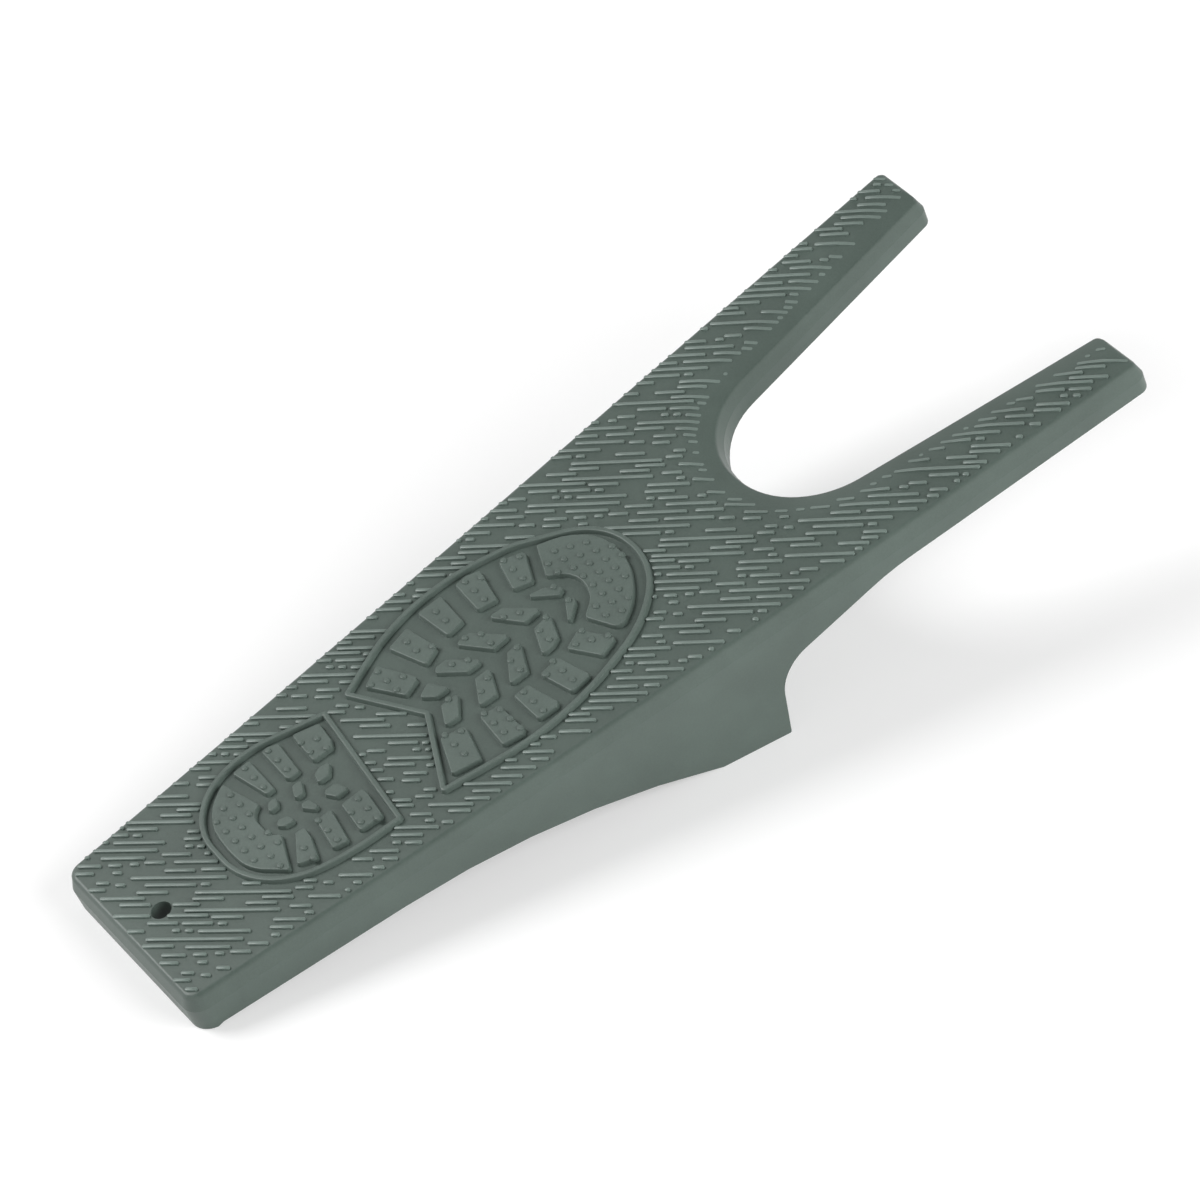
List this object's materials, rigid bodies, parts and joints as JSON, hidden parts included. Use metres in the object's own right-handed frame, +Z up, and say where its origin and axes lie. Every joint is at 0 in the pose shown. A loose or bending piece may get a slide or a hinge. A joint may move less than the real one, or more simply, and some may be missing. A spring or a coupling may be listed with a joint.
{
  "type": "boot jack",
  "caption": "Sloping moulded boot jack: a tapered deck with sole-shaped treads, a hollow foot below it and a U-shaped fork that grips a boot heel.",
  "frame": {"origin": "on the floor below the middle of the jack", "axes": "+X along the jack to the open end of the fork, +Y to the left of someone looking that way, +Z up"},
  "size_m": [0.3342, 0.1324, 0.0704],
  "materials": {
    "deck_plastic": "satin moulded",
    "rib_plastic": "plain moulded",
    "tread_plastic": "satin moulded"
  },
  "bodies": {
    "root": {"deck_shell": "deck_plastic", "foot_walls": "rib_plastic", "rear_ribs": "rib_plastic", "foot_ribs": "rib_plastic", "root_ribs": "rib_plastic", "left_prong_ribs": "rib_plastic", "right_prong_ribs": "rib_plastic", "heel_rim": "tread_plastic", "heel_lugs": "tread_plastic", "forefoot_rim": "tread_plastic", "forefoot_lugs": "tread_plastic", "toe_lug": "tread_plastic"}
  },
  "joints": []
}
